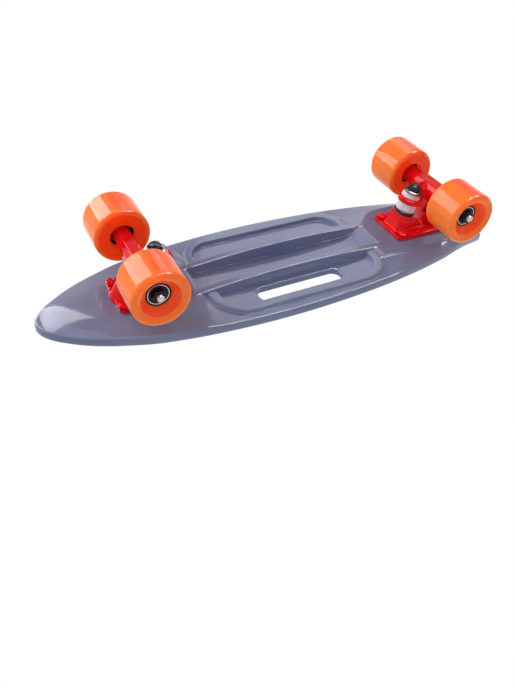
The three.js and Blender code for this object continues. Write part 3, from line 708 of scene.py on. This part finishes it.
def topside(x, y):
    """Height of the deck's top: a shallow dish that rises in a smooth curve to the edge."""
    half = half_at(x)
    depth = DISH_DEPTH * np.minimum(1, (HALF_LENGTH - np.abs(x)) / DISH_RISE)
    inner = half - np.minimum(DISH_RISE, half * 0.7)
    rise = ramp(np.abs(y), inner, half - np.minimum(TOP_ROUND, half / 2))
    dish = depth * (1 - rise * rise * (3 - 2 * rise))
    return lip_at(x) + EDGE - dish - slot_round(x, y, SLOT_ROUND_ABOVE)


def bolt_top(place):
    """The height of a mounting bolt's head over the platform, at a point of the deck."""
    return float(topside(place[0], np.array(place[1]))) - place[2] - BOLT_SINK


def stations(count):
    """Points along the outline, closer together where the pockets, the rim and the slot end."""
    crowded = ((64, 112, 1.5), (-134, -60, 0.9), (-53, -38, 1.5), (42, 57, 1.5), (-38, 42, 0.4))
    steps = np.hypot(*np.diff(OUTLINE, axis=0).T)
    x = OUTLINE[:-1, 0]
    weight = np.ones(len(x))
    for low, high, extra in crowded:
        weight += extra * ((x > low) & (x < high))
    along = np.concatenate([[0], np.cumsum(steps * weight)])
    at = np.linspace(0, along[-1], count)
    return np.stack([np.interp(at, along, OUTLINE[:, i]) for i in (0, 1)], -1)


def spread(face, x, half, count, fine=1100, near=7):
    """Crossings of each row, in even steps of a weight that grows on walls and where the face turns.

    The weight's running sum is averaged over the rows near each one, so that the grid's lines
    along the deck stay smooth.
    """
    share = np.linspace(-1, 1, fine)
    y = half[:, None] * share
    z = face(np.broadcast_to(x[:, None], y.shape), y)
    dy, dz = np.diff(y, axis=1), np.diff(z, axis=1)
    lean = np.arctan(dz / dy)
    turn = np.abs(np.diff(lean, axis=1, append=lean[:, -1:]))
    even, climb, bend = 0.25, 1.4, 12.0
    weight = even * np.hypot(dy, climb * dz) + bend * turn * np.clip(half[:, None] / 60, 0, 1)
    along = np.concatenate([np.zeros((len(x), 1)), np.cumsum(weight, axis=1)], axis=1)
    along /= along[:, -1:]
    padded = np.pad(along, ((near, near), (0, 0)), mode="edge")
    window = 2 * near + 1
    along = sum(padded[i : i + len(x)] for i in range(window)) / window
    at = np.linspace(0, 1, count)
    return np.stack([np.interp(at, a, row) for a, row in zip(along, y)])


def deck_points(rows, columns):
    """The deck as two faces on one grid and a band round their border.

    The band leaves the underside by a round, climbs the edge past a fine parting line and turns
    into the top by a wider round, each level set in from the outline along its normal.
    """
    line = stations(rows)
    across = np.linspace(-1, 1, columns)
    border = np.concatenate([
        np.stack([np.full(columns, line[0, 0]), across * line[0, 1]], -1),
        line[1:],
        np.stack([np.full(columns, line[-1, 0]), -across * line[-1, 1]], -1)[1:],
        (line * [1, -1])[::-1][1:-1],
    ])
    run = np.roll(border, -1, 0) - np.roll(border, 1, 0)
    normal = np.stack([-run[:, 1], run[:, 0]], -1)
    normal /= np.linalg.norm(normal, axis=1, keepdims=True)
    left = columns - 1
    order = np.arange(rows)
    least_step = 0.06

    def face_points(face, inset):
        edge = border + normal * (-inset)
        side = edge[left : left + rows].copy()
        side[0] = line[0] + [inset, 0]
        side[-1] = line[-1] - [inset, 0]
        x = np.maximum(side[:, 0], side[0, 0] + least_step * order)
        x = np.minimum(x, side[-1, 0] - least_step * order[::-1])
        half = side[:, 1]
        y = spread(face, x, half, columns)
        y[[0, -1]] = half[[0, -1], None] * across
        x = np.broadcast_to(x[:, None], y.shape)
        return np.stack([x, y, face(x, y)], -1).reshape(-1, 3)

    index = np.arange(rows * columns).reshape(rows, columns)
    rim = np.concatenate([index[0], index[1:, -1], index[-1, ::-1][1:], index[::-1, 0][1:-1]])
    # Each level of the band as an inset and a height over the lip
    foot, crown = np.linspace(0, np.pi / 2, 5)[1:], np.linspace(0, np.pi / 2, 7)[:-1]
    levels = [(LIP_ROUND * (1 - np.sin(a)), LIP_ROUND * (1 - np.cos(a))) for a in foot]
    middle, groove_half, groove_depth = (LIP_ROUND + EDGE - TOP_ROUND) / 2, 0.35, 0.14
    levels += [(0, middle - groove_half), (-groove_depth, middle), (0, middle + groove_half)]
    levels += [(TOP_ROUND * (1 - np.cos(a)), EDGE - TOP_ROUND * (1 - np.sin(a))) for a in crown]
    band = []
    for inset, height in levels:
        at = border - normal * inset
        band.append(np.stack([at[:, 0], at[:, 1], lip_at(at[:, 0]) + height], -1))
    size, loop = rows * columns, len(border)
    between = [2 * size + i * loop + np.arange(loop) for i in range(len(band))]
    rings = np.array([rim, *between, rim + size])
    ahead = np.roll(rings, -1, 1)
    walls = np.stack([rings[:-1], ahead[:-1], ahead[1:], rings[1:]], -1).reshape(-1, 4)
    low, high = face_points(underside, LIP_ROUND), face_points(topside, TOP_ROUND)
    faces = grid_faces(rows, columns)
    return np.vstack([low, high, *band]), np.vstack([faces, faces + size, walls])


def slot_tool():
    """The handle slot as a prism: a box with round corners whose outer edge is lifted by the bumps."""
    x0, x1, y0, y1 = SLOT
    turn = np.linspace(0, np.pi / 2, 13)
    along = np.linspace(x0 + SLOT_CORNER, x1 - SLOT_CORNER, 85)[1:-1]
    runs = []
    for x, y, quarter in ((x1, y1, 0), (x0, y1, 1), (x0, y0, 2), (x1, y0, 3)):
        angle = turn + quarter * np.pi / 2
        cx = x - math.copysign(SLOT_CORNER, x - (x0 + x1) / 2)
        cy = y - math.copysign(SLOT_CORNER, y - (y0 + y1) / 2)
        runs.append(np.stack([cx + SLOT_CORNER * np.cos(angle), cy + SLOT_CORNER * np.sin(angle)], -1))
    runs.insert(3, np.stack([along, np.full(len(along), y0)], -1))
    path = np.vstack(runs)
    path[:, 1] += bump_at(path[:, 0]) * np.clip((y1 - path[:, 1]) / (y1 - y0), 0, 1)
    below, above = 60.0, 110.0
    return prism([np.column_stack([path, np.full(len(path), z)]) for z in (below, above)])


def prism(rings):
    """A closed solid through rings of equally many points, its ends closed by fans to their middles."""
    rings = np.asarray(rings, float)
    levels, count = rings.shape[:2]
    middles = rings[[0, -1]].mean(1)
    points = np.vstack([rings.reshape(-1, 3), middles])
    faces = [grid_faces(levels, count, closed_rows=True)]
    for row, middle in ((0, levels * count), (levels - 1, levels * count + 1)):
        a = row * count + np.arange(count)
        faces.append(np.stack([a, np.roll(a, -1), np.full(count, middle), np.full(count, middle)], -1))
    return points, np.vstack(faces), 0


def deck_tools():
    """What is cut out of the deck: the handle slot and the mounting bolts' countersunk holes."""
    holes = []
    for truck in TRUCKS:
        for x, y in BOLTS:
            place = truck.point([x, y, 0])
            top = bolt_top(place)
            profile = [[0, -6], [2.7, -6], [2.7, top - 3.0], [5.0, top - 0.3], [5.2, top + 6], [0, top + 6]]
            holes.append(turned(profile, place, [0, 0, 1], 24))
    return [slot_tool(), joined(holes)]


# Trucks

class Truck:
    """One truck's own frame: x towards the deck's middle and z = 0 on the platform."""

    def __init__(self, name, axle):
        self.name = name
        self.axle = axle
        self.middle = [axle, 0, AXLE_HEIGHT]
        self.turn = [-1, -1, 1] if axle > 0 else [1, 1, 1]

    def direction(self, local):
        return np.asarray(local, float) * self.turn

    def point(self, local):
        return self.direction(local) + [self.axle, 0.0, PLATFORM]

    def prism(self, rings):
        points, *rest = prism(rings)
        return self.point(points), *rest

    def on_kingpin(self, profile, **how):
        return turned(profile, self.point(SEAT), self.direction(KINGPIN), **how)

    def on_axle(self, profile, side=1, **how):
        return turned(profile, self.middle, [0, side, 0], **how)


TRUCKS = (Truck("front", FRONT_AXLE), Truck("rear", REAR_AXLE))


def solid(node):
    """A welded copy of a CAD node's mesh."""
    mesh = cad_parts[node].data.copy()
    mesh.materials.clear()
    return welded(mesh)


def cast(mesh, cell=0.45, passes=2):
    """A sharp solid as a casting: rebuilt in even cells and relaxed, which rounds every edge and corner."""
    remesh = {"mode": "VOXEL", "voxel_size": cell * MM, "use_smooth_shade": True}
    return baked(mesh, [("REMESH", remesh), ("SMOOTH", {"factor": 0.5, "iterations": passes})])


def side_recess(truck, side):
    """The recess in a side wall of the kingpin's boss: a sloping panel, 2.8 mm behind the drafted wall."""
    corners = np.array([[41.8, -6.6], [12.6, -6.6], [18.0, -13.2], [37.0, -18.4]])
    wall = 15.5 - 0.174 * (-corners[:, 1] - 2.3)
    inner = np.column_stack([corners[:, 0], side * (wall - 2.8), corners[:, 1]])
    return truck.prism([inner, inner + [0, side * 8.0, 0]])


def nut_pocket(truck, x, y):
    """The pocket round a mounting nut, 2.1 mm deep, with drafted walls and round corners."""
    turn = np.linspace(0, 2 * np.pi, 48, endpoint=False)
    circle = np.stack([np.cos(turn), np.sin(turn)], -1)
    middle = np.array([(42.7 if x > 0 else -18.2), math.copysign(20.6, y)])
    rings = []
    for level, grow in ((-2.0, 0.0), (-4.2, 0.6), (-8.0, 0.6)):
        half = np.array([6.4, 6.0]) + grow
        path = middle + np.sign(circle) * np.abs(circle) ** 0.4 * half
        rings.append(np.column_stack([path, np.full(len(path), level)]))
    return truck.prism(rings)


def arm_ridge(truck):
    """The flat-topped ridge along the hanger's arms, lower and narrower towards the wheels."""
    reach = HANGER_HALF - 1
    rings = []
    for y, top, half in ((-reach, 9.2, 4.3), (-17, 10.2, 5.0), (17, 10.2, 5.0), (reach, 9.2, 4.3)):
        section = [[-half - 1.6, 4], [-half, top], [half, top], [half + 1.6, 4], [half, 0], [-half, 0]]
        rings.append([[x, y, -AXLE_DROP - z] for x, z in section])
    return truck.prism(rings)


def kingpin(truck):
    """A bolt whose head is a hexagon with a turned edge and whose far end carries a thread."""
    low, neck, thread, high = -14.3, -9.3, 27.0, 36.3
    rows = [[0, low], [6.4, low], [7.0, low + 0.8], [7.0, neck], [4.0, neck]]
    rows += [[4.0, d] for d in np.arange(thread, high - 0.9, 0.2)]
    rows += [[4.0, high - 0.9], [3.3, high - 0.1], [2.9, high], [0, high]]

    def radius_at(radius, distance, angle):
        head = np.minimum(flats_radius(KINGPIN_FLATS, angle), radius * 1.06)
        rod = radius - thread_cut(distance, angle, 1.25, 0.5, thread, high - 1.0)
        return np.where(radius > 6, head, rod), distance

    return truck.on_kingpin(rows, radius_at=radius_at)


def bushing(low, high, foot, middle, crown):
    """A barrel: its radius runs through three values on a parabola, with round edges."""
    d = np.linspace(low, high, 9)
    share = (d - low) / (high - low)
    radius = (
        foot * (1 - share) * (1 - 2 * share)
        + 4 * middle * share * (1 - share)
        + crown * share * (2 * share - 1)
    )
    side = np.column_stack([radius, d])
    side[0], side[-1] = [radius[0] - 0.1, low + 0.7], [radius[-1] - 0.1, high - 0.7]
    rows = [[4.4, low + 0.4], [4.9, low], [radius[0] - 0.9, low], [radius[0] - 0.35, low + 0.25]]
    rows += side.tolist()
    rows += [[radius[-1] - 0.35, high - 0.25], [radius[-1] - 0.9, high], [4.9, high], [4.4, high - 0.4]]
    return closed(rows)


# Sections as [radius, distance]: the washers' along the kingpin, the cup's along the pivot
BASE_WASHER = closed(rounded([
    [4.4, 0.5], [4.8, 0.35], [11.6, 0.35], [12.6, 1.0], [12.6, 2.7], [12.0, 3.3], [4.8, 3.3], [4.4, 3.1],
], 0.3, 3))
TOP_WASHER = closed(rounded([
    [4.4, 27.0], [4.8, 26.65], [9.3, 26.65], [10.3, 25.9], [10.95, 26.0], [10.95, 26.7], [10.0, 27.9],
    [9.0, 28.4], [4.8, 28.4], [4.4, 28.1],
], 0.3, 3))
CUP_WALL = rounded([
    [0, -7.0], [6.3, -7.0], [6.5, -6.6], [6.5, 6.4], [7.3, 6.7], [7.3, 7.3], [6.9, 7.5], [6.3, 7.0],
    [5.8, 5.4], [5.3, 1.2], [4.6, -2.6], [2.7, -4.7], [0, -5.4],
], 0.25, 3)


def wheel_profile():
    """A wheel's section from its inner face round the tread to its outer face, and its faces' kinds.

    Distances are from the wheel's middle. The outer face steps off its rim onto a shallow shoulder
    and falls from there in a steep cone to the hub; the inner face has a deep hollow. Kind 0 is the
    tread, the rims and the shoulder, 2 the walls of the cone and of the hollow, and 1 the hub.
    """
    turn = np.linspace(0, np.pi / 2, 10)
    lip, half, tread = 4.4, 22.5, 29.5
    rim = tread - lip
    arc = np.column_stack([tread - lip * (1 - np.sin(turn)), half - lip * (1 - np.cos(turn))])
    face = rounded([
        [rim, half], [24.4, half], [23.9, half - 0.5], [20.4, half - 2.2], [13.3, 12.9], [12.9, 12.3],
    ], [0.3, 0.4, 0.9, 0.9], 5)
    hub = [[12.7, 12.0], [11.9, 12.0], [11.3, 11.7], [11.3, 5.0], [9.4, 5.0], [9.4, -5.0], [11.3, -5.0]]
    hub += [[11.3, -11.7], [11.9, -12.0], [12.7, -12.0], [12.9, -12.3]]
    hollow = rounded([
        [12.9, -12.3], [13.1, -15.0], [13.4, -21.8], [14.1, -half], [rim, -half],
    ], [0.8, 0.5, 0.4], 4)
    parts = [
        (arc * [1, -1], 0), (arc[::-1], 0), (face[1:18], 0), (face[18:], 2), (hub, 1),
        (hollow[:3], 1), (hollow[3:], 2),
    ]
    rows = np.vstack([p for p, _ in parts])
    kinds = np.concatenate([np.full(len(p), k) for p, k in parts])
    return rows, kinds[:-1]


def bearing(low):
    """A ball bearing: the ground outer race (0) and, set 0.4 mm behind its faces, the dark shields (1)."""
    high = low + BEARING_WIDTH
    face = [[10.7, 0], [10.15, 0], [10.0, 0.1], [9.8, 0.45]]
    face += [[9.2, 0.35], [7.4, 0.3], [6.9, 0.45], [6.3, 0.45]]
    front = [[r, high - d] for r, d in face]
    rear = [[r, low + d] for r, d in face[::-1]]
    rows = [[11.0, low + 0.4], [11.0, high - 0.4]] + front + rear + [[11.0, low + 0.4]]
    return rows, [0] * 4 + [1] * 5 + [0] + [1] * 5 + [0] * 3


def sleeve(low, high):
    """Both inner races, the spacer between them and the washers at the ends, as one turned sleeve."""
    rows = [
        [4.35, low], [5.5, low], [5.7, low + 0.9], [5.9, low + 1.1], [5.9, low + 7.6], [5.2, low + 8.0],
        [5.2, high - 8.0], [5.9, high - 7.6], [5.9, high - 1.3], [5.75, high - 1.1], [5.75, high - 0.2],
        [5.5, high], [4.35, high],
    ]
    return closed(rows)


def axle(truck):
    """A rod with round ends, both of which carry a fine thread."""
    start, end = AXLE_HALF - 9.0, AXLE_HALF - 2.1
    tip = [[4.0, 2.0], [3.9, 1.4], [3.5, 0.85], [2.8, 0.4], [1.8, 0.12], [0.8, 0.02], [0, 0]]
    high = [[4.0, d] for d in np.arange(start, end, 0.16)] + [[r, AXLE_HALF - d] for r, d in tip]
    low = [[r, -d] for r, d in high[::-1]]

    def radius_at(radius, distance, angle):
        cuts = [thread_cut(distance, angle, 1.0, 0.35, *ends) for ends in ((start, end), (-end, -start))]
        return radius - sum(cuts), distance

    return truck.on_axle(low + high, count=48, radius_at=radius_at)


def bolt(truck, x, y):
    """A countersunk mounting bolt and its nut, each as (points, faces, kinds).

    The bolt's head has a socket, a hexagon 3.2 mm across its flats. Kind 1 is the end that carries
    the thread and stands out of the baseplate, 0 the rest.
    """
    place = truck.point([x, y, 0])
    end, shank, top = -8.2, -4.0, bolt_top(place)
    rows = [[0, end], [1.7, end], [2.3, end + 0.6]]
    rows += [[2.4, d] for d in np.arange(end + 0.7, shank, 0.12)]
    rows += [[2.4, top - 2.8], [4.6, top - 0.25], [4.7, top - 0.05], [4.5, top]]
    rows += [[2.0, top], [1.8, top - 0.2], [1.8, top - 1.4], [0, top - 1.5]]
    socket = np.array([1.5 < r < 2.1 and d > top - 1.45 for r, d in rows])[:, None]

    def radius_at(radius, distance, angle):
        rod = radius - thread_cut(distance, angle, 0.8, 0.3, end + 0.6, shank - 0.2)
        return np.where(socket, flats_radius(2 * radius - 0.4, angle), rod), distance

    kinds = [0 if d > shank else 1 for _, d in rows[1:]]
    made = turned(rows, place, [0, 0, 1], 48, kinds, radius_at)
    down = [0, 0, -1]
    return made, hex_nut(place, down, flats=9.0, bore=2.45, low=3.2, high=7.8, collar=1.0, count=72)


def build_deck():
    mesh = boolean(mesh_of("deck_shell", *deck_points(rows=292, columns=132)), "DIFFERENCE", deck_tools())
    show("deck_shell", mesh, [PLASTIC], "board", "deck", sharp=40)


def build_truck(truck):
    name = truck.name + "_"
    body = truck.name + "_truck"

    def put(part, node, finishes, rides, squeezed=None):
        piece = name + node + "_piece"
        show(piece, mesh_of(piece, *part), finishes, rides, name + node, squeezed=squeezed)

    def put_casting(node, operation, parts, rides):
        mesh = cast(boolean(solid(name + node), operation, parts))
        show(name + node + "_casting", mesh, [RED], rides, name + node, sharp=60)

    def put_bushing(node, fixed, turning, radii):
        """Along the kingpin, fixed is the end that stays with the board, turning the hanger's end."""
        low, high = sorted((fixed, turning))
        start, end = (truck.point(SEAT) + truck.direction(KINGPIN) * d for d in (fixed, turning))
        part = truck.on_kingpin(bushing(low, high, *radii), count=96)
        put(part, node, [BUSHING], "board", squeezed=(body, start, end))

    cuts = [side_recess(truck, s) for s in (-1, 1)] + [nut_pocket(truck, x, y) for x, y in BOLTS]
    put_casting("baseplate", "DIFFERENCE", cuts, "board")
    put_casting("hanger", "UNION", [arm_ridge(truck)], body)

    cup = turned(CUP_WALL, truck.point(PIVOT), truck.direction(PIVOT_AXIS))
    put(cup, "pivot_cup", [CUP], "board")
    put(kingpin(truck), "kingpin", [DARK], "board")
    put(truck.on_kingpin(BASE_WASHER, count=96), "base_washer", [DARK], "board")
    put_bushing("lower_bushing", fixed=3.6, turning=13.3, radii=(11.4, 11.8, 11.5))
    put_bushing("upper_bushing", fixed=26.3, turning=19.7, radii=(10.9, 10.7, 9.7))
    put(truck.on_kingpin(TOP_WASHER, count=96), "top_washer", [WASHER], "board")
    along = truck.point(SEAT), truck.direction(KINGPIN)
    nut = hex_nut(*along, flats=13.2, bore=4.15, low=28.7, high=35.3, collar=1.2)
    put(nut, "kingpin_nut", [DARK], "board")
    put(axle(truck), "axle", [BRIGHT], body)

    for hand, side in (("left", 1), ("right", -1)):
        roller = name + hand + "_roller"
        rows, kinds = wheel_profile()
        wheel = truck.on_axle(rows + [0, TRACK / 2], side, count=120, kinds=kinds)
        # Kind 2, the walls of the dish cone and of the inner hollow, takes the urethane's painted shade.
        put(wheel, hand + "_wheel", [URETHANE, DARK_HUB, URETHANE_PAINTED_SHADE], roller)
        for place, low in (("inner", 43.5), ("outer", 60.5)):
            rows, kinds = bearing(low)
            part = truck.on_axle(rows, side, count=72, kinds=kinds)
            put(part, f"{hand}_{place}_bearing", [RACE, SHIELD], roller)
        part = truck.on_axle(sleeve(HANGER_HALF + 0.3, 67.5), side)
        put(part, hand + "_bearing_sleeve", [BRIGHT], body)
        along = truck.middle, [0, side, 0]
        nut = hex_nut(*along, flats=12.7, bore=4.15, low=67.8, high=73.4, collar=1.7)
        put(nut, hand + "_axle_nut", [DARK], body)

    for number, (x, y) in enumerate(BOLTS, 1):
        made, lock = bolt(truck, x, y)
        put(made, f"bolt_{number}", [DARK, RED], "board")
        put(lock, f"bolt_nut_{number}", [RED], "board")


# Studio

def softbox(name, place, size, radiance, toward=(0, 0, 0.07), gloss=False, turn=0):
    """A lamp that the camera doesn't see; its power is radiance * pi * area.

    One kind lights the surfaces, the other is what the gloss shows of the studio.
    A turn is in degrees, in its own plane.
    """
    data = bpy.data.lights.new(name, "AREA")
    data.shape = "RECTANGLE"
    data.size, data.size_y = size
    data.energy = radiance * math.pi * size[0] * size[1]
    lamp = placed(name, data)
    lamp.location = place
    lamp.rotation_euler = (Vector(toward) - Vector(place)).to_track_quat("-Z", "Y").to_euler()
    lamp.rotation_euler.rotate_axis("Z", math.radians(turn))
    lamp.visible_camera = False
    lamp.visible_diffuse = not gloss
    lamp.visible_glossy = gloss


def studio_floor():
    """A pale floor that fades out into the white.

    It is seen from above only, not in the gloss, and lets shadow rays through to the lamps below it.
    """
    mesh = bpy.data.meshes.new("studio_floor")
    reach = 2.0
    corners = [(x * reach, y * reach, 0) for x, y in ((-1, -1), (1, -1), (1, 1), (-1, 1))]
    mesh.from_pydata(corners, [], [(0, 1, 2, 3)])
    pale, paler = (0.80,) * 3, (0.82,) * 3
    f = Finish("studio_floor", pale, 0.7)
    f.set("Base Color", f.mix(f.noise(3.0, 2.0), pale, paler))
    behind = f.node("ShaderNodeNewGeometry", output="Backfacing")
    path = f.node("ShaderNodeLightPath", output="Is Shadow Ray")
    away = f.node("ShaderNodeVectorMath", {"operation": "LENGTH"}, {0: f.place}, "Value")
    through = behind.most(path).most(path.beside("Is Glossy Ray")).most(away.ramp(0.5, 1.9))
    clear = f.node("ShaderNodeBsdfTransparent")
    mixed = f.node("ShaderNodeMixShader", inputs={0: through, 1: f.surface, 2: clear})
    f.feed(f.result, 0, mixed)
    mesh.materials.append(f.material)
    placed("studio_floor", mesh)


def studio_world(ambient):
    """White to the camera, to gloss and to clear pieces, and an even soft light to everything else."""
    world = bpy.data.worlds.new("studio")
    bpy.context.scene.world = world
    tree = Tree(world)
    path = tree.node("ShaderNodeLightPath", output="Is Camera Ray")
    seen = path.most(path.beside("Is Glossy Ray")).most(path.beside("Is Transmission Ray"))
    strength = tree.node("ShaderNodeMapRange", inputs={0: seen, 3: ambient})
    background = tree.node("ShaderNodeBackground", inputs={0: (1, 1, 1, 1), 1: strength})
    tree.node("ShaderNodeOutputWorld", inputs={0: background})


def camera():
    """The photograph's view: from below the board, which the photograph shows lying on its top."""
    data = bpy.data.cameras.new("camera")
    data.lens = 34.95
    data.shift_x, data.shift_y = -0.0014, -0.0110
    data.clip_start, data.clip_end = 0.02, 50.0
    made = placed("camera", data)
    right = Vector((-0.8922, -0.4487, -0.0509))
    up = Vector((-0.2656, 0.6126, -0.7445))
    turn = Matrix((right, up, right.cross(up))).transposed().to_4x4()
    made.matrix_world = Matrix.Translation((0.3185, -0.5258, -0.3504)) @ turn
    bpy.context.scene.camera = made


build_deck()
for each in TRUCKS:
    build_truck(each)
studio_floor()
studio_world(ambient=0.30)
softbox("window", (-0.2, 1.3, -0.95), (1.6, 0.9), 5.8)
softbox("key", (1.1, 0.7, -1.2), (1.0, 1.0), 5.0)
softbox("overhead", (-0.25, 0.1, -1.5), (1.4, 1.4), 0.5)
softbox("table", (0, 0, 1.6), (1.8, 1.8), 1.2)
softbox("front", (0, -1.5, 0), (1.0, 1.0), 0.8)
softbox("pane", (0.495, 0.60, -0.435), (0.50, 0.68), 8.4, (0.495, 0.0, -0.435), gloss=True, turn=12)
softbox("sill", (-0.8, 1.2, -0.9), (0.8, 0.8), 1.9, (-0.8, 0.0, -0.9), gloss=True)
softbox("ceiling", (-0.8, 0.0, -1.4), (1.5, 1.0), 20.0, (-0.8, 0.0, 0.0), gloss=True)
camera()
bpy.context.scene.view_settings.view_transform = "Standard"

bpy.context.view_layer.update()
